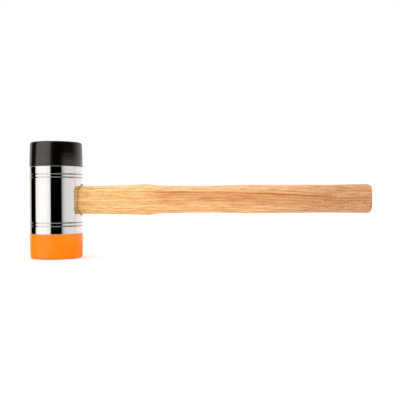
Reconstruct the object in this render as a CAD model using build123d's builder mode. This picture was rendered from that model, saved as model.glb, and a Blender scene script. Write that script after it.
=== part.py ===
from build123d import *
import os

# A two-faced mallet with a rolled steel head and a wedged wooden handle.
#
# Frame: +Z is the head's axis, +X runs along the handle, and the origin is the centre
# of the lower striking face, on which the mallet stands. All sizes are in millimetres.
#
# The head is a chromed steel shell over an eye block and two tapped end plugs. Two
# grooves rolled into the shell near each end lock it to the plug behind them. Each face
# is moulded on a steel insert whose stud screws into its plug, with a spring washer
# under the insert's flange. The handle goes right through the head and is spread at its
# far end by one wooden and two steel wedges.

# ---------------------------------------------------------------- driving dimensions
# Head shell
shell_diameter = 50.0
shell_wall = 3.0
shell_end_chamfer = 0.4
core_fit = 0.05  # radial clearance of the plugs and the eye block in the shell

# Rolled grooves, two near each end
groove_first = 7.4  # from the shell's end to the first groove
groove_spacing = 3.0
groove_radius = 0.6
groove_depth = 0.5
ridge_clearance = 0.15  # between the shell's inner ridge and the plug's groove

# End plugs and the eye block between them, which together fill the shell's length
plug_length = 14.5
block_cheek = 2.3  # thinnest iron above and below the handle's wedged end

# Striking faces
rubber_height = 22.7
nylon_height = 22.6
face_inset = 0.25  # radial step from the shell down to the face's base
face_taper = 0.85  # radial loss from base to tip
face_edge_radius = 1.6
moulding_gap = 0.03  # radial clearance of an insert in its moulding

# Moulded-in insert and its spring washer
stud_diameter = 12.0
stud_end_gap = 1.0  # from the stud's end to the eye block
stud_chamfer = 1.0
thread_clearance = 0.06
flange_diameter = 34.0
flange_thickness = 3.0
neck_diameter = 14.0
neck_length = 4.0
anchor_diameter = 24.0
anchor_thickness = 3.0
washer_thickness = 2.5
washer_width = 4.0
washer_bore_clearance = 0.3
washer_split = 1.4
washer_recess_clearance = 0.5

# Handle: heights lie along Z, thicknesses along Y
handle_reach = 295.9  # from the head's axis to the handle's end
eye_height = 26.3
eye_thickness = 18.6
eye_corner_radius = 8.0
rise_height = 27.5
swell_height = 29.0
swell_thickness = 21.0
drop_height = 26.2
waist_height = 25.4
palm_height = 27.0
palm_thickness = 20.5
hollow_height = 26.4
butt_height = 27.3
grip_corner_radius = 7.4
butt_radius = 3.6
handle_sections = 61  # close enough for straight runs between them to look smooth

# The handle's end in the head
wedged_flare = 1.2  # growth of each side at the wedged end
block_fit = 0.1  # clearance of the handle in the eye block
end_setback = 0.9  # end grain below the rim of the far eye

# Eyes through the shell
eye_clearance = 0.35
eye_lip_radius = 2.0

# Wedges
wood_wedge_thickness = 3.0
wood_wedge_length = 28.0
wood_wedge_tip = 0.4
steel_wedge_thickness = 2.4
steel_wedge_tip = 0.3
steel_wedge_length = 14.0
steel_wedge_width = 14.0
steel_wedge_spacing = 11.0

# ------------------------------------------------------------------- worked out once
shell_radius = shell_diameter / 2
bore_radius = shell_radius - shell_wall
core_radius = bore_radius - core_fit
block_length = eye_height + 2 * (wedged_flare + block_fit + block_cheek)
shell_length = block_length + 2 * plug_length
shell_base = nylon_height
shell_top = shell_base + shell_length
eye_level = shell_base + shell_length / 2

groove_steps = (groove_first, groove_first + groove_spacing)
groove_levels = [
    level for step in groove_steps for level in (shell_base + step, shell_top - step)
]
groove_centre = shell_radius - groove_depth + groove_radius
ridge_centre = bore_radius - groove_depth + groove_radius

stud_radius = stud_diameter / 2
stud_length = plug_length - stud_end_gap
tapped_radius = stud_radius + thread_clearance
washer_bore_radius = stud_radius + washer_bore_clearance
washer_radius = washer_bore_radius + washer_width
recess_radius = washer_radius + washer_recess_clearance

face_base_radius = shell_radius - face_inset
face_tip_radius = face_base_radius - face_taper

far_eye_height = eye_height + 2 * (wedged_flare + eye_clearance)
far_eye_thickness = eye_thickness + 2 * (wedged_flare + eye_clearance)
far_rim_x = -((shell_radius**2 - (far_eye_thickness / 2) ** 2) ** 0.5)
handle_start_x = far_rim_x + end_setback
flare_start_x = handle_start_x + wood_wedge_length  # where the wooden wedge's tip lies

# Shares of the length from the shell to the handle's end, each with its size there
height_stations = (
    (0.000, eye_height),
    (0.150, rise_height),
    (0.228, swell_height),
    (0.272, drop_height),
    (0.420, waist_height),
    (0.585, palm_height),
    (0.820, hollow_height),
    (1.000, butt_height),
)
thickness_stations = (
    (0.000, eye_thickness),
    (0.228, swell_thickness),
    (0.585, palm_thickness),
    (1.000, palm_thickness),
)
corner_stations = (
    (0.000, eye_corner_radius),
    (0.228, grip_corner_radius),
    (1.000, grip_corner_radius),
)

os.makedirs("parts", exist_ok=True)


def across_handle(x):
    """The plane square to the handle at x, with its own x along +Y and y along +Z."""
    return Plane(origin=(x, 0, eye_level), x_dir=(0, 1, 0), z_dir=(1, 0, 0))


def handle_in_eye(growth):
    """The handle's run through the head, each side moved out by growth.

    It is straight from the near side to flare_start_x and widens evenly from there.
    """
    beyond = flare_start_x + shell_diameter
    far_growth = growth + wedged_flare * beyond / wood_wedge_length
    with BuildPart() as run:
        with BuildSketch(across_handle(flare_start_x)) as straight:
            RectangleRounded(
                eye_thickness + 2 * growth, eye_height + 2 * growth, eye_corner_radius
            )
        extrude(amount=shell_diameter)
        with BuildSketch(across_handle(flare_start_x - beyond)) as flared:
            RectangleRounded(
                eye_thickness + 2 * far_growth,
                eye_height + 2 * far_growth,
                eye_corner_radius,
            )
        loft([straight.sketch, flared.sketch])
    return run.part


# ---------------------------------------------------------------------- head shell
with BuildPart() as head_shell:
    with BuildSketch(Plane.XY.offset(shell_base)):
        Circle(shell_radius)
        Circle(bore_radius, mode=Mode.SUBTRACT)
    extrude(amount=shell_length)
    chamfer(
        head_shell.edges()
        .filter_by(GeomType.CIRCLE)
        .filter_by(lambda edge: edge.radius > shell_radius - shell_wall / 2),
        length=shell_end_chamfer,
    )
    with BuildSketch(Plane.XZ):
        with Locations(*[(ridge_centre, level) for level in groove_levels]):
            Circle(groove_radius)
    revolve(axis=Axis.Z)
    with BuildSketch(Plane.XZ):
        with Locations(*[(groove_centre, level) for level in groove_levels]):
            Circle(groove_radius)
    revolve(axis=Axis.Z, mode=Mode.SUBTRACT)
    with BuildSketch(across_handle(0)):
        RectangleRounded(
            eye_thickness + 2 * eye_clearance,
            eye_height + 2 * eye_clearance,
            eye_corner_radius,
        )
    extrude(amount=shell_diameter, mode=Mode.SUBTRACT)
    near_rim = head_shell.edges(Select.LAST).filter_by(
        lambda edge: (edge @ 0.5).X ** 2 + (edge @ 0.5).Y ** 2
        > (shell_radius - shell_wall / 2) ** 2
    )
    fillet(near_rim, radius=eye_lip_radius)
    with BuildSketch(across_handle(0)):
        RectangleRounded(far_eye_thickness, far_eye_height, eye_corner_radius)
    extrude(amount=-shell_diameter, mode=Mode.SUBTRACT)
head_shell.part.label = "head_shell"
export_step(head_shell.part, "parts/head_shell.step")

# ------------------------------------------------------------------- inside the head
block_cutter = handle_in_eye(block_fit)

with BuildPart() as eye_block:
    with BuildSketch(Plane.XY.offset(shell_base + plug_length)):
        Circle(core_radius)
    extrude(amount=block_length)
    add(block_cutter, mode=Mode.SUBTRACT)
eye_block.part.label = "eye_block"
export_step(eye_block.part, "parts/eye_block.step")

with BuildPart() as end_plug:
    with BuildSketch():
        Circle(core_radius)
        Circle(tapped_radius, mode=Mode.SUBTRACT)
    extrude(amount=-plug_length)
    with BuildSketch(Plane.XZ):
        with Locations(*[(ridge_centre, -step) for step in groove_steps]):
            Circle(groove_radius + ridge_clearance)
    revolve(axis=Axis.Z, mode=Mode.SUBTRACT)
    with BuildSketch():
        Circle(recess_radius)
    extrude(amount=-washer_thickness, mode=Mode.SUBTRACT)


# ------------------------------------------------------------ faces and their inserts
def insert_outline(growth):
    """Half-section of an insert's flange, neck and anchor, each moved out by growth."""
    flange = flange_diameter / 2 + growth
    neck = neck_diameter / 2 + growth
    anchor = anchor_diameter / 2 + growth
    neck_top = flange_thickness + neck_length
    with BuildSketch(Plane.XZ) as outline:
        with BuildLine():
            Polyline(
                (0, 0),
                (flange, 0),
                (flange, flange_thickness),
                (neck, flange_thickness),
                (neck, neck_top),
                (anchor, neck_top),
                (anchor, neck_top + anchor_thickness),
                (0, neck_top + anchor_thickness),
                close=True,
            )
        make_face()
    return outline.sketch


insert_section = insert_outline(0)
moulding_section = insert_outline(moulding_gap)

with BuildPart() as face_insert:
    add(insert_section)
    revolve(axis=Axis.Z)
    with BuildSketch():
        Circle(stud_radius)
    extrude(amount=-stud_length)
    chamfer(face_insert.edges().sort_by(Axis.Z)[0], length=stud_chamfer)

with BuildPart() as spring_washer:
    with BuildSketch():
        Circle(washer_radius)
        Circle(washer_bore_radius, mode=Mode.SUBTRACT)
        with Locations((washer_radius, 0)):
            Rectangle(washer_radius, washer_split, mode=Mode.SUBTRACT)
    extrude(amount=-washer_thickness)


def striking_face(height):
    """A moulded face with its base on XY, tapering to its tip, hollow for its insert."""
    with BuildPart() as face:
        with BuildSketch():
            Circle(face_base_radius)
        with BuildSketch(Plane.XY.offset(height)):
            Circle(face_tip_radius)
        loft()
        fillet(face.edges().sort_by(Axis.Z)[-1], radius=face_edge_radius)
        add(moulding_section)
        revolve(axis=Axis.Z, mode=Mode.SUBTRACT)
    return face.part


# Each end of the shell carries a plug, a washer, an insert and its moulding. The lower
# set is the upper one turned over, so both studs keep a right-hand thread.
upper_seat = Location((0, 0, shell_top))
lower_seat = Location((0, 0, shell_base), (180, 0, 0))

for seat, end, face_name, height in (
    (upper_seat, "upper", "rubber_face", rubber_height),
    (lower_seat, "lower", "nylon_face", nylon_height),
):
    for shape, name in (
        (end_plug.part, f"{end}_end_plug"),
        (spring_washer.part, f"{face_name}_washer"),
        (face_insert.part, f"{face_name}_insert"),
        (striking_face(height), face_name),
    ):
        placed = shape.moved(seat)
        placed.label = name
        export_step(placed, f"parts/{name}.step")


# -------------------------------------------------------------------------- wedges
def wedge(head_section, tip_section, length, level):
    """A wedge driven in from the handle's end, its sections given as (along Y, along Z)."""
    driven_from = across_handle(handle_start_x)
    with BuildPart() as driven:
        with BuildSketch(driven_from):
            with Locations((0, level)):
                Rectangle(*head_section)
        with BuildSketch(driven_from.offset(length)):
            with Locations((0, level)):
                Rectangle(*tip_section)
        loft()
    return driven.part


steel_wedge_shapes = [
    wedge(
        (steel_wedge_width, steel_wedge_thickness),
        (steel_wedge_width, steel_wedge_tip),
        steel_wedge_length,
        side * steel_wedge_spacing / 2,
    )
    for side in (-1, 1)
]
slot_shape = wedge(
    (wood_wedge_thickness, far_eye_height),
    (wood_wedge_tip, far_eye_height),
    wood_wedge_length,
    0,
)
run_in_head = split(
    split(handle_in_eye(0), across_handle(handle_start_x), keep=Keep.TOP),
    across_handle(shell_radius),
    keep=Keep.BOTTOM,
)

with BuildPart() as steel_wedges:
    for shape in steel_wedge_shapes:
        add(shape)
steel_wedges.part.label = "steel_wedges"
export_step(steel_wedges.part, "parts/steel_wedges.step")

with BuildPart() as wood_wedge:
    add(slot_shape)
    add(run_in_head, mode=Mode.INTERSECT)
    for shape in steel_wedge_shapes:
        add(shape, mode=Mode.SUBTRACT)
wood_wedge.part.label = "wood_wedge"
export_step(wood_wedge.part, "parts/wood_wedge.step")


# -------------------------------------------------------------------------- handle
def eased(share, stations):
    """The size at a share of the length, rising or falling smoothly between stations."""
    for (start, before), (end, after) in zip(stations, stations[1:]):
        if share <= end:
            turn = (share - start) / (end - start)
            return before + (after - before) * turn * turn * (3 - 2 * turn)
    return stations[-1][1]


with BuildPart() as handle:
    for index in range(handle_sections):
        share = index / (handle_sections - 1)
        x = shell_radius + share * (handle_reach - shell_radius)
        with BuildSketch(across_handle(x)):
            RectangleRounded(
                eased(share, thickness_stations),
                eased(share, height_stations),
                eased(share, corner_stations),
            )
    loft(ruled=True)
    fillet(handle.faces().sort_by(Axis.X)[-1].edges(), radius=butt_radius)
    add(run_in_head)
    add(slot_shape, mode=Mode.SUBTRACT)
    for shape in steel_wedge_shapes:
        add(shape, mode=Mode.SUBTRACT)
handle.part.label = "handle"
export_step(handle.part, "parts/handle.step")
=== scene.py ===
# %% [markdown]
# # A rubber mallet, dressed for the studio
#
# The mallet has a chromed steel head with a black rubber face above and an orange nylon
# face below, on a wooden handle. Its shapes come from a finished CAD model that is loaded
# as a fixed frame, in metres: +Z runs up the head, +X along the handle, and the origin is
# the middle of the lower striking face. This lesson gives each part the surface that the
# real one has, and builds anew the parts whose looks need more than CAD gives: the
# moulded faces, the screwed inserts, the tapped plugs and the handle.

# %% Load the frame
import math

import bmesh
import bpy
import numpy as np
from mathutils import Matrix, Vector


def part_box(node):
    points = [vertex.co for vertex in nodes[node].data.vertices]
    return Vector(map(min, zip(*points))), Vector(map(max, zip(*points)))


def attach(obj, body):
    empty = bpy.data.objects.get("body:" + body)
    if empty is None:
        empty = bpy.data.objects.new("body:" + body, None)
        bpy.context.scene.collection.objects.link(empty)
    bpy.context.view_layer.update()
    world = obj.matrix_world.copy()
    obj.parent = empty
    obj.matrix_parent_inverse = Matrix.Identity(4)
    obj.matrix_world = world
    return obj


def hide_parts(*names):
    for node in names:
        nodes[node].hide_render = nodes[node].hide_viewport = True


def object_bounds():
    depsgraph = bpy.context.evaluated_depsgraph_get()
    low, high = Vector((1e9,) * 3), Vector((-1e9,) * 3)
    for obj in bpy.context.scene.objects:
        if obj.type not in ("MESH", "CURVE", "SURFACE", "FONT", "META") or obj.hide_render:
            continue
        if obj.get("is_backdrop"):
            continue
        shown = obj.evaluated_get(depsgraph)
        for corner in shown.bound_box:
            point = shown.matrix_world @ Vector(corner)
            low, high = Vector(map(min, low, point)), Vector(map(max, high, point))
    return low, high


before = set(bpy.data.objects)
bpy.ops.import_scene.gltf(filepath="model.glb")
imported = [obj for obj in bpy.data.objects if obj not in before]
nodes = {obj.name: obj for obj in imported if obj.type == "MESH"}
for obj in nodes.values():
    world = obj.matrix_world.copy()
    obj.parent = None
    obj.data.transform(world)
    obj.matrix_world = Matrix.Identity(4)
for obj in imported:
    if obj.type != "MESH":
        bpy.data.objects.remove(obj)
cad_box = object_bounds()
MM = 0.001
print("CAD box in mm:", [[round(x / MM, 1) for x in corner] for corner in cad_box])

# %% [markdown]
# ## Measures that everything else starts from
#
# A maker reads a few sizes off the drawing and works from those. Here they are read off
# the boxes of the loaded parts, so that nothing has to be typed twice.

# %% Measures from the frame
shell_low, shell_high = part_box("head_shell")
plug_low, plug_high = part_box("upper_end_plug")
rubber_low, rubber_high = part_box("rubber_face")
nylon_low, nylon_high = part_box("nylon_face")
insert_low, insert_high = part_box("rubber_face_insert")
washer_low, washer_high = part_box("rubber_face_washer")
handle_low, handle_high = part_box("handle")
SHELL_BASE, SHELL_TOP = shell_low.z, shell_high.z
SHELL_RADIUS = shell_high.y
FACE_BASE_RADIUS = rubber_high.y
PLUG_RADIUS = plug_high.y
PLUG_LENGTH = plug_high.z - plug_low.z
STUD_LENGTH = SHELL_TOP - insert_low.z
ANCHOR_TOP = insert_high.z - SHELL_TOP
FLANGE_RADIUS = insert_high.y
WASHER_RADIUS = washer_high.y
WASHER_THICKNESS = washer_high.z - washer_low.z
EYE_LEVEL = (SHELL_BASE + SHELL_TOP) / 2
BUTT_X = handle_high.x
print(f"shell from {SHELL_BASE / MM:.1f} to {SHELL_TOP / MM:.1f} mm")
print(f"plug {PLUG_LENGTH / MM:.1f} mm long, stud {STUD_LENGTH / MM:.1f} mm")
print(f"handle axis at {EYE_LEVEL / MM:.2f} mm, its end at {BUTT_X / MM:.1f} mm")

# %% [markdown]
# ## The camera
#
# A long mallet is best seen from half a metre or so with a short telephoto lens, level
# with the middle of its head. The camera stands opposite the middle of the handle, so the
# head is seen a little from its handle side. Three tenths of a degree of roll let the handle's
# end ride as high as a hand-placed tool would.

# %% Camera
CAMERA_SPOT = Vector((0.1354, -0.588, 0.0533))
CAMERA_ROLL = math.radians(0.3)
CAMERA_LENS = 56.1

camera_data = bpy.data.cameras.new("studio_camera")
camera_data.sensor_width = 36.0
camera_data.lens = CAMERA_LENS
camera_data.clip_start = 0.01
camera = bpy.data.objects.new("studio_camera", camera_data)
camera.location = CAMERA_SPOT
camera.rotation_euler = (math.radians(90), CAMERA_ROLL, 0)
bpy.context.scene.collection.objects.link(camera)
bpy.context.scene.camera = camera
bpy.context.scene.view_settings.view_transform = "Standard"

# %% [markdown]
# ## Colours and nodes
#
# Paint charts give colours as hex values in sRGB, and the renderer works in linear light,
# so one function turns the first into the second. A second small function adds a shader
# node with its settings and its links, and every material below is built with it.

# %% Helpers for materials
def linear(hex_colour):
    """sRGB hex to linear RGBA: each channel is c / 12.92 below 0.04045, and above it
    ((c + 0.055) / 1.055) to the power 2.4."""
    channels = [int(hex_colour[i : i + 2], 16) / 255 for i in (1, 3, 5)]
    bent = [c / 12.92 if c <= 0.04045 else ((c + 0.055) / 1.055) ** 2.4 for c in channels]
    return (*bent, 1.0)


def add_node(tree, kind, settings=None, **inputs):
    """Adds a node. settings are its own properties, and inputs its sockets: by name, with
    underscores for spaces, or as in_3 for the fourth. Each is a value or another node's
    output to link."""
    node = tree.nodes.new(kind)
    for name, value in (settings or {}).items():
        setattr(node, name, value)
    for name, value in inputs.items():
        if name.startswith("in_"):
            socket = node.inputs[int(name[3:])]
        else:
            socket = node.inputs[name.replace("_", " ")]
        if isinstance(value, bpy.types.NodeSocket):
            tree.links.new(value, socket)
        else:
            socket.default_value = value
    return node


def sum_of(tree, operation, *values):
    """One step of arithmetic on values or outputs."""
    inputs = {f"in_{i}": value for i, value in enumerate(values)}
    return add_node(tree, "ShaderNodeMath", {"operation": operation}, **inputs).outputs[0]


def spread(tree, value, low, high, out_low=0.0, out_high=1.0):
    """Carries a value from the range low..high to out_low..out_high, and holds it there."""
    node = add_node(
        tree,
        "ShaderNodeMapRange",
        {"interpolation_type": "SMOOTHSTEP"},
        Value=value,
        From_Min=low,
        From_Max=high,
        To_Min=out_low,
        To_Max=out_high,
    )
    return node.outputs[0]


def mixed(tree, share, first, second):
    """The first colour where share is 0 and the second where it is 1."""
    node = add_node(
        tree, "ShaderNodeMix", {"data_type": "RGBA"}, in_0=share, in_6=first, in_7=second
    )
    return node.outputs[2]


def darkened(tree, colour, share, tint):
    """A colour multiplied by a tint, as far as share says."""
    node = add_node(
        tree,
        "ShaderNodeMix",
        {"data_type": "RGBA", "blend_type": "MULTIPLY"},
        in_0=share,
        in_6=colour,
        in_7=tint,
    )
    return node.outputs[2]


def noise(tree, place, size, stretch=(1, 1, 1), detail=2.0):
    """Noise from 0 to 1 with spots size millimetres across, drawn out along each axis."""
    scale = tuple(1 / (size * MM * s) for s in stretch)
    scaled = add_node(tree, "ShaderNodeMapping", Vector=place, Scale=scale)
    node = add_node(
        tree, "ShaderNodeTexNoise", Vector=scaled.outputs[0], Scale=1.0, Detail=detail
    )
    return node.outputs["Fac"]


def relief(tree, height, depth, strength=1.0):
    """A bump whose full height is depth millimetres."""
    node = add_node(
        tree, "ShaderNodeBump", Strength=strength, Distance=depth * MM, Height=height
    )
    return node.outputs["Normal"]


def set_stops(ramp_node, stops):
    """Fills a colour ramp from (position, colour) pairs in rising order."""
    ramp = ramp_node.color_ramp
    while len(ramp.elements) < len(stops):
        ramp.elements.new(1.0)
    for element, (position, _) in zip(ramp.elements, stops):
        element.position = position
    for element, (_, colour) in zip(ramp.elements, stops):
        element.color = colour


def new_material(name):
    """An empty material, its tree, and the object's own coordinates in it."""
    material = bpy.data.materials.new(name)
    material.use_nodes = True
    tree = material.node_tree
    tree.nodes.clear()
    return material, tree, add_node(tree, "ShaderNodeTexCoord").outputs["Object"]


def close_material(material, **inputs):
    """Ends a material with one principled shader that takes the inputs given."""
    tree = material.node_tree
    shader = add_node(tree, "ShaderNodeBsdfPrincipled", **inputs)
    add_node(tree, "ShaderNodeOutputMaterial", Surface=shader.outputs["BSDF"])
    return material


def dress(node_name, material):
    """Gives a CAD node its material."""
    mesh = nodes[node_name].data
    mesh.materials.clear()
    mesh.materials.append(material)


# %% [markdown]
# ## The studio
#
# Polished metal has no colour of its own: it shows the room. So the room is built first:
# a wide white light on the left, the dark of the studio behind the camera, a warmer and
# dimmer strip light on the right, and pale walls behind. The walls are drawn in the world
# shader by direction, as bands of brightness round the horizon. The strip on the right is
# low, so only a sharp mirror shows it at full strength. Just below the horizon the table's
# edge shades the walls, nearer than that the pale board is bright, and overhead and
# underfoot the room fades into an even grey.

# %% World: a ring of light and dark
WARM = (1.0, 0.975, 0.95)
COOL = (0.93, 0.97, 1.0)
PLAIN = (1.0, 1.0, 1.0)


def lit(value, tint=PLAIN):
    """A brightness with a tint, as a colour."""
    return (*(value * t for t in tint), 1.0)


# (bearing in degrees from +X towards +Y, brightness, tint), at the height of the camera
LEVEL_RING = (
    (-180, 0.0, PLAIN),
    (-175.5, 0.0, PLAIN),
    (-173.0, 0.9, COOL),
    (-170.5, 1.45, PLAIN),
    (-150, 1.68, PLAIN),
    (-125, 1.68, PLAIN),
    (-105, 1.4, PLAIN),
    (-100, 0.0, PLAIN),
    (-57, 0.0, PLAIN),
    (-53, 0.5, WARM),
    (-46, 0.95, WARM),
    (-35, 1.14, WARM),
    (5, 1.27, WARM),
    (8.5, 0.9, WARM),
    (12.5, 1.35, WARM),
    (80, 1.5, WARM),
    (128, 1.2, WARM),
    (149, 1.08, WARM),
    (153, 0.0, PLAIN),
    (180, 0.0, PLAIN),
)
# The same a hand's breadth higher or lower
OUTER_RING = (
    (-180, 0.0, PLAIN),
    (-175.5, 0.0, PLAIN),
    (-170.5, 1.5, PLAIN),
    (-125, 1.6, PLAIN),
    (-105, 1.3, PLAIN),
    (-100, 0.0, PLAIN),
    (-57, 0.0, PLAIN),
    (-50, 0.0, WARM),
    (0, 0.04, WARM),
    (40, 0.9, WARM),
    (149, 0.9, WARM),
    (153, 0.0, PLAIN),
    (180, 0.0, PLAIN),
)
OVERHEAD_GREY = 1.3
TABLE_SHADE = 0.35
ROOM_LIGHT = 0.45
# Where each change begins and ends, in degrees above or below the horizon
STRIP_EDGE = (3.4, 3.9)
TABLE_EDGE = (3.4, 4.2)
BOARD_EDGE = (9, 14)
CEILING_EDGE = (38, 52)

world = bpy.data.worlds.new("studio")
bpy.context.scene.world = world
world.use_nodes = True
sky = world.node_tree
sky.nodes.clear()

direction = add_node(sky, "ShaderNodeTexCoord").outputs["Generated"]
aim = add_node(sky, "ShaderNodeSeparateXYZ", Vector=direction).outputs
bearing = sum_of(sky, "ARCTAN2", aim["Y"], aim["X"])
turn_share = sum_of(sky, "MULTIPLY_ADD", bearing, 1 / (2 * math.pi), 0.5)
rise = sum_of(sky, "ABSOLUTE", aim["Z"])


def ring_colour(ring):
    """The brightness round the horizon as a colour ramp over the bearing."""
    ramp = add_node(sky, "ShaderNodeValToRGB", Fac=turn_share)
    set_stops(ramp, [((deg + 180) / 360, lit(value, tint)) for deg, value, tint in ring])
    return ramp.outputs["Color"]


def sine(degrees):
    """How far a direction so many degrees above the horizon rises."""
    return math.sin(math.radians(degrees))


walls = mixed(
    sky,
    spread(sky, rise, *map(sine, STRIP_EDGE)),
    ring_colour(LEVEL_RING),
    ring_colour(OUTER_RING),
)
# The table's edge shades the foot of the walls, and nearer than that the board is bright
shaded = sum_of(
    sky,
    "MULTIPLY",
    spread(sky, aim["Z"], -sine(TABLE_EDGE[1]), -sine(TABLE_EDGE[0]), 1.0, 0.0),
    spread(sky, aim["Z"], -sine(BOARD_EDGE[1]), -sine(BOARD_EDGE[0]), 0.0, 1.0),
)
walls = darkened(sky, walls, shaded, lit(TABLE_SHADE))
overhead = spread(sky, rise, *map(sine, CEILING_EDGE))
room = mixed(sky, overhead, walls, lit(OVERHEAD_GREY))
# Dull surfaces get less of the room than mirrors do, because its walls are nearer in a
# reflection than as a light. What the camera sees past the mallet is plain white.
ray = add_node(sky, "ShaderNodeLightPath").outputs
dimmed = darkened(sky, room, ray["Is Diffuse Ray"], lit(ROOM_LIGHT))
seen = mixed(sky, ray["Is Camera Ray"], dimmed, lit(1.0))
backdrop = add_node(sky, "ShaderNodeBackground", Color=seen, Strength=1.0)
add_node(sky, "ShaderNodeOutputWorld", Surface=backdrop.outputs[0])

# %% [markdown]
# ### Soft light for everything that isn't metal
#
# White silk over the table gives a light with no edge, which reaches all round the handle.
# It is a sun lamp with a very wide disc, hidden from reflections, because on chrome the
# silk would show as a hard white spot.

# %% Lights
def silk(name, aim, strength, width_degrees):
    """A light with no edge that shines along aim, and that no mirror shows."""
    light = bpy.data.lights.new(name, "SUN")
    light.energy = strength
    light.angle = math.radians(width_degrees)
    lamp = bpy.data.objects.new(name, light)
    lamp.rotation_mode = "QUATERNION"
    lamp.rotation_quaternion = Vector(aim).to_track_quat("-Z", "Y")
    lamp.visible_glossy = False
    bpy.context.scene.collection.objects.link(lamp)


silk("silk_over_the_table", (0.0, 0.0, -1.0), 2.9, 170)

# %% [markdown]
# ## The floor
#
# A sheet of pale board under the mallet. It takes a faint contact shadow and throws light
# up under the handle. It is kept out of the chrome's reflections, where a real studio would
# hide its edge by tipping the board.

# %% Floor
FLOOR_HALF = 4.0
FLOOR_DROP = 0.2 * MM  # so that the floor and the lower face don't share a plane
floor_mesh = bpy.data.meshes.new("floor")
floor_mesh.from_pydata(
    [(x * FLOOR_HALF, y * FLOOR_HALF, 0.0) for x, y in ((-1, -1), (1, -1), (1, 1), (-1, 1))],
    [],
    [(0, 1, 2, 3)],
)
floor = bpy.data.objects.new("floor", floor_mesh)
floor.location.z = -FLOOR_DROP
bpy.context.scene.collection.objects.link(floor)
floor.visible_glossy = False
floor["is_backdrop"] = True

board, _, _ = new_material("pale_board")
floor_mesh.materials.append(
    close_material(board, Base_Color=linear("#FCFCFB"), Roughness=0.95)
)

# %% [markdown]
# ## Chrome plate
#
# Bright chrome on polished steel: a mirror, darker and bluer than silver, whose look is
# all in what it reflects. Its polish is never quite even, so the roughness drifts a
# little, and the buffing wheel leaves a haze of fine lines round the tube that only the
# brightest reflections show.

# %% Chrome
def chrome_plate():
    """A clear mirror with a drifting haze and faint buffing lines round the tube."""
    material, tree, place = new_material("chrome_plate_on_steel")
    haze = noise(tree, place, 11, detail=3)
    buffing = noise(tree, place, 0.12, stretch=(60, 60, 1), detail=2)
    uneven = sum_of(tree, "MULTIPLY_ADD", buffing, 0.35, haze)
    tone = mixed(tree, haze, linear("#C8C5C2"), linear("#CDCBC9"))
    return close_material(
        material,
        Base_Color=tone,
        Metallic=1.0,
        Roughness=spread(tree, uneven, 0.3, 1.1, 0.02, 0.055),
        Normal=relief(tree, buffing, 0.0002),
    )


dress("head_shell", chrome_plate())

# %% [markdown]
# ## Turned and moulded pieces
#
# The faces, the inserts and the plugs are all round about the head's axis. One function
# makes each from its half-section, as a lathe or a round mould does. It works on a grid:
# rows of points along the section, columns round the axis. The corners of a section are
# first rounded, because no real edge is sharp, and a rounded edge catches a line of light.

# %% Solids of revolution
ROUND = 144  # columns round the axis
EDGE_STEPS = 5
SHARP_ANGLE = math.radians(35)


def rounded(corners, radius=0.25 * MM):
    """A polyline with its inner corners rounded. Each corner gives way to a quadratic
    curve that starts and ends radius away from it, or less on a short side. A corner may
    carry its own radius as a third number."""
    points = [corners[0][:2]]
    for before, corner, after in zip(corners, corners[1:], corners[2:]):
        spot = np.array(corner[:2])
        reach = corner[2] if len(corner) > 2 else radius
        ends = []
        for other in (before, after):
            side = np.array(other[:2]) - spot
            length = np.linalg.norm(side)
            ends.append(spot + side * min(reach / length, 0.45))
        t = np.linspace(0, 1, EDGE_STEPS)[:, None]
        points.extend((1 - t) ** 2 * ends[0] + 2 * t * (1 - t) * spot + t**2 * ends[1])
    points.append(corners[-1][:2])
    return np.array([tuple(p) for p in points])


def solid_object(name, points, faces):
    """An object at the origin from points and faces, with its normals outward."""
    mesh = bpy.data.meshes.new(name)
    mesh.from_pydata(points.tolist(), [], faces)
    work = bmesh.new()
    work.from_mesh(mesh)
    bmesh.ops.recalc_face_normals(work, faces=work.faces)
    work.to_mesh(mesh)
    work.free()
    solid = bpy.data.objects.new(name, mesh)
    bpy.context.scene.collection.objects.link(solid)
    return solid


def shade(mesh):
    """Shades a mesh smooth, with its edges over SHARP_ANGLE sharp."""
    mesh.shade_smooth()
    mesh.set_sharp_from_angle(angle=SHARP_ANGLE)


def add_piece(name, points, faces, material, body, stands_for):
    """A finished piece that rides on a body and stands for a CAD node."""
    piece = solid_object(name, points, faces)
    mesh = piece.data
    shade(mesh)
    mesh.materials.append(material)
    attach(piece, body)
    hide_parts(stands_for)
    print(f"{name}: {len(mesh.vertices)} points, {len(mesh.polygons)} faces")
    return piece


def skin(grid):
    """Points and faces over a grid of points, whose rows are closed rings. Where the first
    and the last row are each a single spot, that spot closes the end with a fan.
    Otherwise the last row is joined to the first."""
    rows, columns = grid.shape[:2]
    ends_in_points = np.ptp(grid[0], axis=0).max() < 1e-9
    if not ends_in_points:
        index = np.arange(rows * columns).reshape(rows, columns)
        below = np.roll(index, -1, axis=0)
        quads = np.stack(
            [index, below, np.roll(below, -1, axis=1), np.roll(index, -1, axis=1)], axis=-1
        )
        return grid.reshape(-1, 3), quads.reshape(-1, 4).tolist()
    points = np.vstack([grid[0, :1], grid[1:-1].reshape(-1, 3), grid[-1, :1]])
    index = 1 + np.arange((rows - 2) * columns).reshape(rows - 2, columns)
    onward = np.roll(index, -1, axis=1)
    first = np.zeros(columns, int)
    last = np.full(columns, len(points) - 1)
    quads = np.stack([index[:-1], index[1:], onward[1:], onward[:-1]], axis=-1)
    faces = np.stack([first, index[0], onward[0]], axis=-1).tolist()
    faces += quads.reshape(-1, 4).tolist()
    faces += np.stack([last, onward[-1], index[-1]], axis=-1).tolist()
    return points, faces


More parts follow.
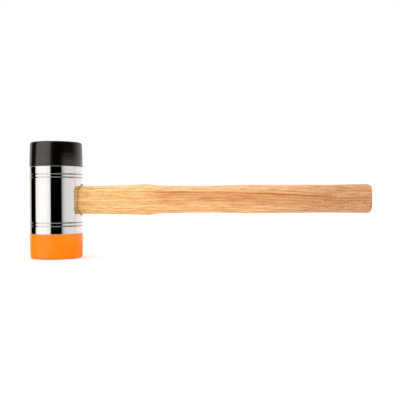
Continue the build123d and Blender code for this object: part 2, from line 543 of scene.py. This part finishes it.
def spin(radii, levels):
    """A surface of revolution about the Z axis. radii is a grid, a row for each level and
    a column for each bearing, and the point of row i and column j is
    (r cos t, r sin t, level) with t = 2 pi j / columns."""
    bearings = np.linspace(0, 2 * np.pi, radii.shape[1], endpoint=False)
    heights = np.broadcast_to(levels[:, None], radii.shape)
    return skin(np.stack([radii * np.cos(bearings), radii * np.sin(bearings), heights], axis=-1))


def seated(points, seat):
    """Moves a piece drawn for the seat at level 0, facing up, to its end of the shell.
    The lower end's is turned over about the X axis, so its thread keeps its hand."""
    if seat == "upper":
        return points + (0, 0, SHELL_TOP)
    return points * (1, -1, -1) + (0, 0, SHELL_BASE)


# %% [markdown]
# ## Rubber and nylon faces
#
# Both are moulded round their steel inserts and taper a little towards the blow, so that
# the mould lets go. The mould leaves two marks that a stand-in would lack: a fine line
# round the side where its halves met, and a shallow dimple at the middle of the striking
# face where the material flowed in.

# %% Moulded faces
MOULDING_GAP = 0.03 * MM
FLANGE_THICKNESS = 3.0 * MM
NECK_RADIUS = 7.0 * MM
NECK_TOP = 7.0 * MM
ANCHOR_RADIUS = 12.0 * MM
FACE_TAPER = 0.85 * MM
FACE_EDGE_RADIUS = 1.6 * MM
BASE_EDGE_RADIUS = 0.4 * MM
PARTING_RISE = 0.04 * MM
PARTING_SHARE = 0.52
GATE_RADIUS = 3.2 * MM
GATE_DEPTH = 0.3 * MM


def face_outline(height):
    """The half-section of a face: from the axis out of the pocket that holds the insert,
    over the base, up the side and back in to the axis. The side's radius falls evenly by
    FACE_TAPER over the height."""
    gap = MOULDING_GAP

    def side(share):
        """The side's radius at a share of the height."""
        return FACE_BASE_RADIUS - FACE_TAPER * share

    parting = [
        (side(PARTING_SHARE) + rise, height * PARTING_SHARE + step * MM)
        for step, rise in ((-0.35, 0.0), (-0.06, PARTING_RISE), (0.06, PARTING_RISE), (0.35, 0.0))
    ]
    corners = [
        (0.0, ANCHOR_TOP + gap),
        (ANCHOR_RADIUS + gap, ANCHOR_TOP + gap),
        (ANCHOR_RADIUS + gap, NECK_TOP - gap),
        (NECK_RADIUS + gap, NECK_TOP - gap),
        (NECK_RADIUS + gap, FLANGE_THICKNESS + gap),
        (FLANGE_RADIUS + gap, FLANGE_THICKNESS + gap),
        (FLANGE_RADIUS + gap, 0.0),
        (side(0.0), 0.0, BASE_EDGE_RADIUS),
        *[(r, level, 0.1 * MM) for r, level in parting],
        (side(1.0), height, FACE_EDGE_RADIUS),
        (GATE_RADIUS, height, 0.8 * MM),
        (GATE_RADIUS * 0.55, height - GATE_DEPTH, 0.8 * MM),
        (0.0, height - GATE_DEPTH),
    ]
    return rounded(corners, radius=0.2 * MM)


def moulded_face(name, height, seat, material):
    """One face, made by spinning its outline round the head's axis."""
    outline = face_outline(height)
    radii = np.repeat(outline[:, :1], ROUND, axis=1)
    points, faces = spin(radii, outline[:, 1])
    return add_piece(name + "_moulding", seated(points, seat), faces, material, name, name)


# %% [markdown]
# Black rubber is vulcanised in a polished mould, so it shines more than a tyre does, but
# its skin is never flat: it has a soft unevenness a few millimetres across and a fine
# grain on top, which blur what it reflects. Dust sits in the grain of the striking face.

# %% Rubber
def vulcanised_rubber():
    """Black rubber with a polished, uneven skin, dusty where it strikes."""
    material, tree, place = new_material("vulcanised_black_rubber")
    swell = noise(tree, place, 9, detail=1)
    grain = noise(tree, place, 0.35, detail=3)
    level = add_node(tree, "ShaderNodeSeparateXYZ", Vector=place).outputs["Z"]
    rubber_tip = rubber_high.z
    struck = spread(tree, level, rubber_tip - 1.4 * MM, rubber_tip - 0.2 * MM)
    patches = spread(tree, noise(tree, place, 5, detail=4), 0.45, 0.75)
    dust = sum_of(tree, "MULTIPLY", struck, patches)
    tone = mixed(tree, grain, linear("#010101"), linear("#050505"))
    tone = mixed(tree, sum_of(tree, "MULTIPLY", dust, 0.5), tone, linear("#26241F"))
    lift = sum_of(tree, "MULTIPLY_ADD", grain, 0.04, swell)
    return close_material(
        material,
        Base_Color=tone,
        Specular_IOR_Level=0.8,
        Specular_Tint=(1.0, 0.9, 0.84, 1.0),
        Roughness=spread(tree, sum_of(tree, "ADD", grain, dust), 0.2, 1.6, 0.16, 0.5),
        Normal=relief(tree, lift, 0.02),
    )


# %% [markdown]
# The orange face is nylon, harder than the rubber. It is satin, lets a little light into
# its skin, and carries faint flow marks from the mould and small scuffs near its edge.

# %% Nylon
def moulded_nylon():
    """Satin orange nylon with flow marks, scuffed where it strikes."""
    material, tree, place = new_material("moulded_orange_nylon")
    flow = noise(tree, place, 14, stretch=(1, 1, 0.4), detail=2)
    grain = noise(tree, place, 0.5, detail=3)
    level = add_node(tree, "ShaderNodeSeparateXYZ", Vector=place).outputs["Z"]
    struck = spread(tree, level, 0.2 * MM, 2.5 * MM, 1.0, 0.0)
    scuffs = spread(tree, noise(tree, place, 1.4, stretch=(2, 2, 1), detail=4), 0.56, 0.7)
    tone = mixed(tree, flow, linear("#FC8003"), linear("#FF8806"))
    worn = sum_of(tree, "MULTIPLY", struck, scuffs)
    tone = mixed(tree, sum_of(tree, "MULTIPLY", worn, 0.45), tone, linear("#C9752A"))
    lift = sum_of(tree, "SUBTRACT", grain, sum_of(tree, "MULTIPLY", worn, 2.0))
    return close_material(
        material,
        Base_Color=tone,
        Roughness=spread(tree, sum_of(tree, "ADD", grain, worn), 0.2, 1.6, 0.16, 0.45),
        Specular_IOR_Level=0.28,
        Subsurface_Weight=0.12,
        Subsurface_Radius=(1.0, 0.35, 0.08),
        Subsurface_Scale=1.2 * MM,
        Normal=relief(tree, lift, 0.012),
    )


moulded_face(
    "rubber_face", rubber_high.z - rubber_low.z, "upper", vulcanised_rubber()
)
moulded_face(
    "nylon_face", nylon_high.z - nylon_low.z, "lower", moulded_nylon()
)

# %% [markdown]
# ## The screw thread
#
# Each face unscrews on a coarse M12 stud. A thread is a wave wound round the stud: its
# height depends on the level and on how far round one has gone, and one turn climbs one
# pitch. The tapped plug has the same wave a hair's breadth larger, so stud and plug stay
# meshed while the face turns out of the head.

# %% Thread form
PITCH = 1.75 * MM
CREST_RADIUS = 6.0 * MM
THREAD_DEPTH = 1.0 * MM
THREAD_CLEARANCE = 0.06 * MM
STEPS_PER_PITCH = 16


def thread_radii(levels, columns=ROUND):
    """The radius of a right-hand thread on a grid of levels and bearings. The phase is
    level / pitch - bearing / (2 pi). A triangle wave of it, cut off flat at its top and
    bottom, runs from 0 at the root to 1 at the crest."""
    turns = np.arange(columns) / columns
    phase = (levels[:, None] / PITCH - turns) % 1.0
    wave = np.clip(np.abs(2 * phase - 1) * 1.25 - 0.125, 0, 1)
    return CREST_RADIUS - THREAD_DEPTH * (1 - wave)


def thread_levels(low, high):
    """Evenly spaced levels, enough to draw each turn."""
    return np.linspace(low, high, int((high - low) / PITCH * STEPS_PER_PITCH) + 1)


# %% [markdown]
# ### Inserts
#
# An insert is turned from bar: an anchor disc that the moulding grips, a neck, a flange
# that bears on the washer, and the stud. The thread stops short of the flange in a
# relief groove, where the cutting tool ran out, and its tip is chamfered to find the hole.

# %% Inserts
STUD_CHAMFER = 1.0 * MM
RELIEF_LENGTH = 1.6 * MM


def insert_grid():
    """Levels and radii of an insert for the upper seat, from the top of its anchor down
    to the stud's tip. Where a chamfer or the relief groove is deeper than the thread, the
    smaller radius holds."""
    body_outline = rounded(
        [
            (0.0, ANCHOR_TOP),
            (ANCHOR_RADIUS, ANCHOR_TOP),
            (ANCHOR_RADIUS, NECK_TOP),
            (NECK_RADIUS, NECK_TOP),
            (NECK_RADIUS, FLANGE_THICKNESS),
            (FLANGE_RADIUS, FLANGE_THICKNESS),
            (FLANGE_RADIUS, 0.0),
            (CREST_RADIUS - THREAD_DEPTH, 0.0),
            (CREST_RADIUS - THREAD_DEPTH, -0.4 * MM),
        ]
    )
    levels = thread_levels(-STUD_LENGTH, -0.5 * MM)[::-1]
    tip_cone = CREST_RADIUS - STUD_CHAMFER + (levels + STUD_LENGTH)
    root = CREST_RADIUS - THREAD_DEPTH
    run_out = root + np.clip(-levels - RELIEF_LENGTH, 0, THREAD_DEPTH)
    limit = np.minimum(tip_cone, run_out)
    stud = np.minimum(thread_radii(levels), limit[:, None])
    turned = np.repeat(body_outline[:, :1], ROUND, axis=1)
    radii = np.vstack([turned, stud, np.zeros((1, ROUND))])
    return radii, np.concatenate([body_outline[:, 1], levels, [-STUD_LENGTH]])


# %% [markdown]
# ### End plugs
#
# A plug is a disc of steel with a tapped hole, a shallow seat for the spring washer, and
# two grooves in its side, into which the shell is rolled so that the plug can't be driven
# out.

# %% End plugs
RECESS_RADIUS = WASHER_RADIUS + 0.5 * MM
GROOVE_STEPS = (7.4 * MM, 10.4 * MM)
GROOVE_HALF_WIDTH = 0.73 * MM
GROOVE_DEPTH = 0.6 * MM
MOUTH_CHAMFER = 0.5 * MM


def plug_grid():
    """Levels and radii of a plug for the upper seat: up the tapped hole, over the washer's
    seat and the end face, down the side and back under. A cone opens each mouth of the
    hole."""
    seat = -WASHER_THICKNESS
    levels = thread_levels(-PLUG_LENGTH, seat)
    lower_cone = CREST_RADIUS + MOUTH_CHAMFER - (levels + PLUG_LENGTH)
    upper_cone = CREST_RADIUS + MOUTH_CHAMFER - (seat - levels)
    cones = np.maximum(lower_cone, upper_cone)
    hole = np.maximum(thread_radii(levels) + THREAD_CLEARANCE, cones[:, None])
    grooves = [
        corner
        for step in GROOVE_STEPS
        for corner in (
            (PLUG_RADIUS, -step + GROOVE_HALF_WIDTH),
            (PLUG_RADIUS - GROOVE_DEPTH, -step, GROOVE_HALF_WIDTH),
            (PLUG_RADIUS, -step - GROOVE_HALF_WIDTH),
        )
    ]
    outline = rounded(
        [
            (CREST_RADIUS + MOUTH_CHAMFER + 0.3 * MM, seat),
            (RECESS_RADIUS, seat),
            (RECESS_RADIUS, 0.0),
            (PLUG_RADIUS, 0.0),
            *grooves,
            (PLUG_RADIUS, -PLUG_LENGTH),
            (CREST_RADIUS + MOUTH_CHAMFER + 0.3 * MM, -PLUG_LENGTH),
        ]
    )
    radii = np.vstack([hole, np.repeat(outline[:, :1], ROUND, axis=1)])
    return radii, np.concatenate([levels, outline[:, 1]])


# %% [markdown]
# Turned steel keeps the path of the tool: rings a quarter of a millimetre apart, cut into
# its faces, and fine hoops along its sides. They show as faint circles in the light.

# %% Turned steel
def turned_steel(name, colour, stained):
    """Bright steel with tool rings about the head's axis, and stains of oil and rust as
    far as the share says."""
    material, tree, place = new_material(name)
    flat = add_node(
        tree, "ShaderNodeVectorMath", {"operation": "MULTIPLY"}, in_0=place, in_1=(1, 1, 0)
    )
    across = add_node(
        tree, "ShaderNodeVectorMath", {"operation": "LENGTH"}, in_0=flat.outputs[0]
    ).outputs["Value"]
    level = add_node(tree, "ShaderNodeSeparateXYZ", Vector=place).outputs["Z"]
    path = sum_of(tree, "ADD", across, level)
    rings = sum_of(tree, "SINE", sum_of(tree, "MULTIPLY", path, 2 * math.pi / (0.25 * MM)))
    oil = spread(tree, noise(tree, place, 6, detail=4), 0.48, 0.7)
    tone = mixed(
        tree, sum_of(tree, "MULTIPLY", oil, stained), linear(colour), linear("#5C4A3A")
    )
    return close_material(
        material,
        Base_Color=tone,
        Metallic=1.0,
        Roughness=spread(tree, noise(tree, place, 1.2, detail=3), 0.3, 0.7, 0.22, 0.4),
        Normal=relief(tree, rings, 0.004, strength=0.7),
    )


insert_radii, insert_levels = insert_grid()
plug_radii, plug_levels = plug_grid()
for seat, face, steel in (
    ("upper", "rubber_face", turned_steel("zinc_plated_steel_upper", "#C9CBCC", 0.1)),
    ("lower", "nylon_face", turned_steel("zinc_plated_steel_lower", "#C9CBCC", 0.1)),
):
    points, faces = spin(insert_radii, insert_levels)
    insert = face + "_insert"
    add_piece(
        insert + "_turned", seated(points, seat), faces, steel, face, insert
    )

plug_finish = turned_steel("turned_mild_steel", "#A9A7A2", 0.45)
for seat in ("upper", "lower"):
    points, faces = spin(plug_radii, plug_levels)
    plug = seat + "_end_plug"
    add_piece(
        plug + "_turned", seated(points, seat), faces, plug_finish, "head", plug
    )

# %% [markdown]
# ## Washers, eye block and wedges
#
# These keep their CAD shapes and get the finish of what they are made of. The spring
# washers are blued by their heat treatment, a blue-black with straw-brown clouds. The
# block round the handle is cast iron as it left the sand. The steel wedges are cut from
# strip and driven in bare, so they are bright where the hammer met them and brown with
# thin rust elsewhere.

# %% Small steel and iron
def blued_spring_steel():
    """Blue-black steel with straw-brown clouds, from its heat treatment."""
    material, tree, place = new_material("blued_spring_steel")
    clouds = noise(tree, place, 5, detail=3)
    scale = noise(tree, place, 0.3, detail=3)
    tone = mixed(tree, spread(tree, clouds, 0.4, 0.62), linear("#252C3C"), linear("#3E352C"))
    return close_material(
        material,
        Base_Color=tone,
        Metallic=1.0,
        Roughness=spread(tree, scale, 0.3, 0.7, 0.28, 0.45),
        Normal=relief(tree, scale, 0.01),
    )


def sand_cast_iron():
    """Grey iron with the grain of the sand it was cast in, rusting in patches."""
    material, tree, place = new_material("sand_cast_iron")
    sand = noise(tree, place, 0.7, detail=4)
    rust = spread(tree, noise(tree, place, 7, detail=4), 0.5, 0.68)
    tone = mixed(tree, sum_of(tree, "MULTIPLY", rust, 0.6), linear("#4A4946"), linear("#5A3C28"))
    return close_material(
        material,
        Base_Color=tone,
        Metallic=0.85,
        Roughness=spread(tree, sand, 0.3, 0.7, 0.5, 0.75),
        Normal=relief(tree, sand, 0.12),
    )


def struck_strip_steel():
    """Bare steel, dented by the hammer and brown with thin rust."""
    material, tree, place = new_material("struck_strip_steel")
    peening = noise(tree, place, 1.3, detail=2)
    rust = spread(tree, noise(tree, place, 2.2, detail=5), 0.47, 0.62)
    tone = mixed(tree, sum_of(tree, "MULTIPLY", rust, 0.7), linear("#9C9A97"), linear("#6A4A34"))
    return close_material(
        material,
        Base_Color=tone,
        Metallic=0.9,
        Roughness=spread(tree, rust, 0.0, 1.0, 0.3, 0.65),
        Normal=relief(tree, peening, 0.06),
    )


blued = blued_spring_steel()
dress("rubber_face_washer", blued)
dress("nylon_face_washer", blued)
dress("eye_block", sand_cast_iron())
dress("steel_wedges", struck_strip_steel())

# %% [markdown]
# ## The wooden handle
#
# Handles of this kind are split or sawn from ash or hickory, with the growth rings along
# the long side of the oval, so that the blow bends the wood across them. The wood is
# built from what is really in it: rings round the trunk's axis, rows of pores in each
# ring's early wood, fibres along the grain, one dark ring that wanders along the handle,
# and specks of resin towards the grip's end. Besides these, a band under the dark ring is
# darkened as painted shade. It is finished with thin lacquer, which yellows it near the
# head and leaves it browner towards the end.

# %% Wood
TRUNK_RADIUS = 75.0 * MM
RING_WIDTH = 2.9 * MM
DARK_RING_RISE = 7.4 * MM
DARK_RING_FALL = 5.6 * MM


def grain_depth(tree, place):
    """How far a point lies above the dark ring, in metres, measured out from the trunk's
    axis, which lies below the handle and runs along it. The ring is above the handle's
    axis near the head and sinks towards its end, and noise makes it waver."""
    axes = add_node(tree, "ShaderNodeSeparateXYZ", Vector=place).outputs
    along = axes["X"]
    fall = spread(tree, along, 0.15, 0.29, 0.0, DARK_RING_FALL)
    waver = noise(tree, place, 16, stretch=(4.5, 1, 1), detail=2)
    shift = sum_of(tree, "MULTIPLY_ADD", waver, 4.5 * MM, -2.25 * MM)
    level = sum_of(tree, "SUBTRACT", axes["Z"], EYE_LEVEL + DARK_RING_RISE)
    level = sum_of(tree, "ADD", sum_of(tree, "ADD", level, fall), shift)
    out = sum_of(tree, "ADD", level, TRUNK_RADIUS)
    squares = sum_of(
        tree,
        "ADD",
        sum_of(tree, "MULTIPLY", axes["Y"], axes["Y"]),
        sum_of(tree, "MULTIPLY", out, out),
    )
    return sum_of(tree, "SUBTRACT", sum_of(tree, "SQRT", squares), TRUNK_RADIUS), along


def lacquered_ash(name, with_dark_ring):
    """Ash with rings, pores and fibres, under thin lacquer. The dark ring, the painted shade
    under it and the specks are left out of a wedge, which is sawn from another piece."""
    material, tree, place = new_material(name)
    depth, along = grain_depth(tree, place)

    # Each ring starts with porous early wood and ends with dense late wood
    ring_share = sum_of(tree, "FRACT", sum_of(tree, "DIVIDE", depth, RING_WIDTH))
    early = spread(tree, ring_share, 0.0, 0.42, 1.0, 0.0)
    pores = spread(tree, noise(tree, place, 0.3, stretch=(16, 1, 1), detail=1), 0.56, 0.68)
    pores = sum_of(tree, "MULTIPLY", pores, sum_of(tree, "MULTIPLY_ADD", early, 0.75, 0.25))
    fibres = noise(tree, place, 0.28, stretch=(45, 1, 1), detail=4)
    strands = noise(tree, place, 1.1, stretch=(13, 1, 1), detail=3)
    figure = noise(tree, place, 5, stretch=(9, 1, 1), detail=3)

    # Yellow near the head, browner towards the end
    aged = add_node(tree, "ShaderNodeValToRGB", Fac=spread(tree, along, 0.02, 0.30))
    set_stops(
        aged,
        [
            (0.0, linear("#FFD796")),
            (0.32, linear("#FDCF98")),
            (0.7, linear("#F2C594")),
            (1.0, linear("#D6A87C")),
        ],
    )
    tone = darkened(tree, aged.outputs[0], sum_of(tree, "MULTIPLY", early, 0.55), linear("#E6CDAE"))
    tone = darkened(tree, tone, spread(tree, figure, 0.35, 0.7, 0.0, 0.5), linear("#E6CDAC"))
    tone = darkened(tree, tone, spread(tree, strands, 0.42, 0.66, 0.0, 0.6), linear("#DDBB92"))
    tone = darkened(tree, tone, spread(tree, fibres, 0.38, 0.68, 0.0, 0.5), linear("#D8B68E"))
    tone = darkened(tree, tone, sum_of(tree, "MULTIPLY", pores, 0.75), linear("#A9784C"))
    dents = sum_of(tree, "MULTIPLY", pores, -1.0)

    if with_dark_ring:
        off_ring = sum_of(tree, "ABSOLUTE", depth)
        line = spread(tree, off_ring, 0.25 * MM, 1.1 * MM, 1.0, 0.0)
        begins = spread(tree, along, 0.078, 0.11)
        ends = spread(tree, along, 0.275, 0.293, 1.0, 0.35)
        breaks = noise(tree, place, 9, stretch=(3, 1, 1), detail=3)
        gaps = spread(tree, breaks, 0.33, 0.58, 0.35, 1.0)
        line = sum_of(tree, "MULTIPLY", line, sum_of(tree, "MULTIPLY", gaps, begins))
        line = sum_of(tree, "MULTIPLY", line, ends)
        tone = darkened(tree, tone, sum_of(tree, "MULTIPLY", line, 0.5), linear("#BF946C"))
        # Painted shade: a band of the wood just under the dark ring is darkened, standing in
        # for the shade across the middle of the handle's side
        shade = spread(tree, depth, -15.0 * MM, -4.0 * MM)
        shade = sum_of(tree, "MULTIPLY", shade, spread(tree, depth, 0.0, 1.0 * MM, 1.0, 0.0))
        shade = sum_of(tree, "MULTIPLY", shade, begins)
        shade = sum_of(tree, "MULTIPLY", shade, spread(tree, along, 0.2, 0.28, 1.0, 0.15))
        tone = darkened(tree, tone, sum_of(tree, "MULTIPLY", shade, 0.75), linear("#E6CDAE"))
        # Specks of resin in the grip's end
        specks = spread(tree, noise(tree, place, 1.15, stretch=(1.7, 1, 1), detail=3), 0.55, 0.68)
        specks = sum_of(tree, "MULTIPLY", specks, spread(tree, depth, -2 * MM, 2 * MM, 1.0, 0.2))
        specks = sum_of(tree, "MULTIPLY", specks, spread(tree, along, 0.215, 0.265))
        tone = darkened(tree, tone, sum_of(tree, "MULTIPLY", specks, 0.7), linear("#AE7C54"))

    ridges = sum_of(tree, "MULTIPLY_ADD", fibres, 0.5, dents)
    return close_material(
        material,
        Base_Color=tone,
        Roughness=spread(tree, sum_of(tree, "ADD", fibres, pores), 0.3, 1.3, 0.36, 0.6),
        Specular_IOR_Level=0.35,
        Normal=relief(tree, ridges, 0.035, strength=0.8),
    )


# %% [markdown]
# ### The handle's shape
#
# A handle is turned on a copying lathe and finished on a belt, so its section is an oblong
# with round corners, and its sizes flow into each other along its length: a small tenon in
# the head, a swell beyond it that stops the hand, a waist, and a palm. The sizes below
# stand at shares of the length outside the head, and between two of them the size eases
# from one to the next. The belt leaves long low waves a few hundredths of a millimetre
# deep, which only a slanting light shows.

# %% Handle sizes
# (share of the length outside the head, size in millimetres)
HEIGHTS = (
    (0.000, 26.3),
    (0.150, 27.5),
    (0.228, 29.0),
    (0.272, 26.2),
    (0.420, 25.4),
    (0.585, 27.0),
    (0.820, 26.4),
    (1.000, 27.3),
)
THICKNESSES = ((0.000, 18.6), (0.228, 21.0), (0.585, 20.5), (1.000, 20.5))
CORNERS = ((0.000, 8.0), (0.228, 7.4), (1.000, 7.4))
BUTT_RADIUS = 3.6 * MM
ARRIS = 0.35 * MM  # the softened edge of the wedged end
WEDGED_FLARE = 1.2 * MM
WOOD_WEDGE_LENGTH = 28.0 * MM
BELT_WAVE = 0.05 * MM
ROWS_IN_HEAD = 40
ROWS_OUTSIDE = 340


def eased(shares, stations):
    """The size in metres at each share of the length. From one station to the next the
    size moves by u * u * (3 - 2 * u), where u runs from 0 to 1 between them."""
    marks, sizes = np.array(stations).T
    step = np.clip(np.searchsorted(marks, shares, side="right") - 1, 0, len(marks) - 2)
    u = np.clip((shares - marks[step]) / (marks[step + 1] - marks[step]), 0, 1)
    return (sizes[step] + (sizes[step + 1] - sizes[step]) * u * u * (3 - 2 * u)) * MM


def section_columns():
    """Four numbers (s, v, p, q) for each column of a section with half-sizes a and b and
    corner radius c, so that its point lies at y = s (a - c) + v c and
    z = p (b - c) + q c. Nine columns round each corner, and more along each side."""
    arcs = [
        np.array([(s, np.cos(t), p, np.sin(t)) for t in np.linspace(k, k + 1, 9) * np.pi / 2])
        for k, (s, p) in enumerate(((1, 1), (-1, 1), (-1, -1), (1, -1)))
    ]
    columns = []
    for arc, following, steps in zip(arcs, arcs[1:] + arcs[:1], (4, 9, 4, 9)):
        t = np.linspace(0, 1, steps + 1)[1:-1, None]
        columns += [arc, arc[-1] + (following[0] - arc[-1]) * t]
    return np.vstack(columns)


def handle_grid():
    """Rows of sections from the wedged end to the butt. Each end is a flat that shrinks
    to a point, after an edge rounded by setting the section in along a quarter circle."""
    start, end = handle_low.x, BUTT_X
    turn = np.linspace(0, np.pi / 2, 10)
    in_head = np.linspace(start + ARRIS, SHELL_RADIUS, ROWS_IN_HEAD)[1:]
    outside = np.linspace(SHELL_RADIUS, end - BUTT_RADIUS, ROWS_OUTSIDE)[1:]
    flat = np.linspace(0, 1, 5)[:-1]
    plain = np.zeros(len(in_head) + len(outside))
    x = np.concatenate(
        [
            np.full(4, start),
            start + ARRIS * (1 - np.cos(turn)),
            in_head,
            outside,
            end - BUTT_RADIUS + BUTT_RADIUS * np.sin(turn[1:]),
            np.full(4, end),
        ]
    )
    inset = np.concatenate(
        [
            np.full(4, ARRIS),
            ARRIS * (1 - np.sin(turn)),
            plain,
            BUTT_RADIUS * (1 - np.cos(turn[1:])),
            np.full(4, BUTT_RADIUS),
        ]
    )
    scale = np.concatenate([flat, np.ones(len(x) - 8), flat[::-1]])
    share = np.clip((x - SHELL_RADIUS) / (end - SHELL_RADIUS), 0, 1)
    flare = WEDGED_FLARE * np.clip(1 - (x - start) / WOOD_WEDGE_LENGTH, 0, 1)
    a = eased(share, THICKNESSES) / 2 + flare - inset
    b = eased(share, HEIGHTS) / 2 + flare - inset
    c = eased(share, CORNERS) - inset

    s, v, p, q = section_columns().T
    around = np.arctan2(q + p, v + s)
    waves = 1 + np.sin(x[:, None] * 2 * np.pi / (43 * MM) + 2 * around) * np.sin(
        x[:, None] * 2 * np.pi / (97 * MM) + around
    )
    belt = BELT_WAVE * waves * np.clip(share[:, None] * 12, 0, 1)
    c = c[:, None] - belt
    y = s * (a[:, None] - belt - c) + v * c
    z = p * (b[:, None] - belt - c) + q * c
    along = np.broadcast_to(x[:, None], y.shape)
    return np.stack([along, y * scale[:, None], EYE_LEVEL + z * scale[:, None]], axis=-1)


# %% [markdown]
# ### Its kerf and wedges
#
# The wedged end is sawn down the middle for the wooden wedge, and the two steel wedges
# split it crosswise. Each gap is cut here as a tapered block a hair larger than its wedge,
# so that a thin dark line shows round each of them in the end grain, as on the real tool.

# %% Wedge gaps
GAP_ALLOWANCE = 0.06 * MM
OVERRUN = 1.0 * MM  # how far a cutter starts outside the wood
STEEL_SPACING = 11.0 * MM
# (half-width in Y and half-height in Z at the end, the same at the tip, length)
WOOD_GAP = ((1.5, 20.0), (0.2, 20.0), 28.0)
STEEL_GAP = ((7.0, 1.2), (7.0, 0.15), 14.0)


def tapered_block(name, gap, level):
    """A block driven in from the wedged end along +X at a level above the origin."""
    (wide, tall), (tip_wide, tip_tall), length = gap
    grow = GAP_ALLOWANCE
    around = ((1, 1), (-1, 1), (-1, -1), (1, -1))
    ends = []
    for x, y, z in (
        (handle_low.x - OVERRUN, wide * MM + grow, tall * MM + grow),
        (handle_low.x, wide * MM + grow, tall * MM + grow),
        (handle_low.x + length * MM, tip_wide * MM + grow, tip_tall * MM + grow),
    ):
        ends.append([(x, sy * y, level + sz * z) for sy, sz in around])
    points = np.array(ends).reshape(-1, 3)
    sides = [
        (row + k, row + (k + 1) % 4, row + 4 + (k + 1) % 4, row + 4 + k)
        for row in (0, 4)
        for k in range(4)
    ]
    return solid_object(name, points, sides + [(3, 2, 1, 0), (8, 9, 10, 11)])


def cut_away(piece, blocks):
    """Takes the blocks out of the piece's mesh, and removes them."""
    for block in blocks:
        cut = piece.modifiers.new("gap", "BOOLEAN")
        cut.operation = "DIFFERENCE"
        cut.solver = "EXACT"
        cut.object = block
    shape = bpy.data.meshes.new_from_object(
        piece.evaluated_get(bpy.context.evaluated_depsgraph_get())
    )
    piece.modifiers.clear()
    piece.data = shape
    for block in blocks:
        bpy.data.objects.remove(block)
    shade(shape)


handle_points, handle_faces = skin(handle_grid())
handle_piece = add_piece(
    "handle_shaped",
    handle_points,
    handle_faces,
    lacquered_ash("lacquered_ash", True),
    "head",
    "handle",
)
cut_away(
    handle_piece,
    [
        tapered_block("wood_gap", WOOD_GAP, EYE_LEVEL),
        tapered_block("upper_steel_gap", STEEL_GAP, EYE_LEVEL + STEEL_SPACING / 2),
        tapered_block("lower_steel_gap", STEEL_GAP, EYE_LEVEL - STEEL_SPACING / 2),
    ],
)
dress("wood_wedge", lacquered_ash("dry_ash_wedge", False))

# %% [markdown]
# ## Last look
#
# The finished mallet must fill the same box as the CAD model, so the two boxes are
# printed and kept side by side.

# %% Size of the finished model, beside the CAD box
seen_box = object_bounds()
for name, box in (("cad", cad_box), ("visual", seen_box)):
    print(name, [[round(x / MM, 2) for x in corner] for corner in box])
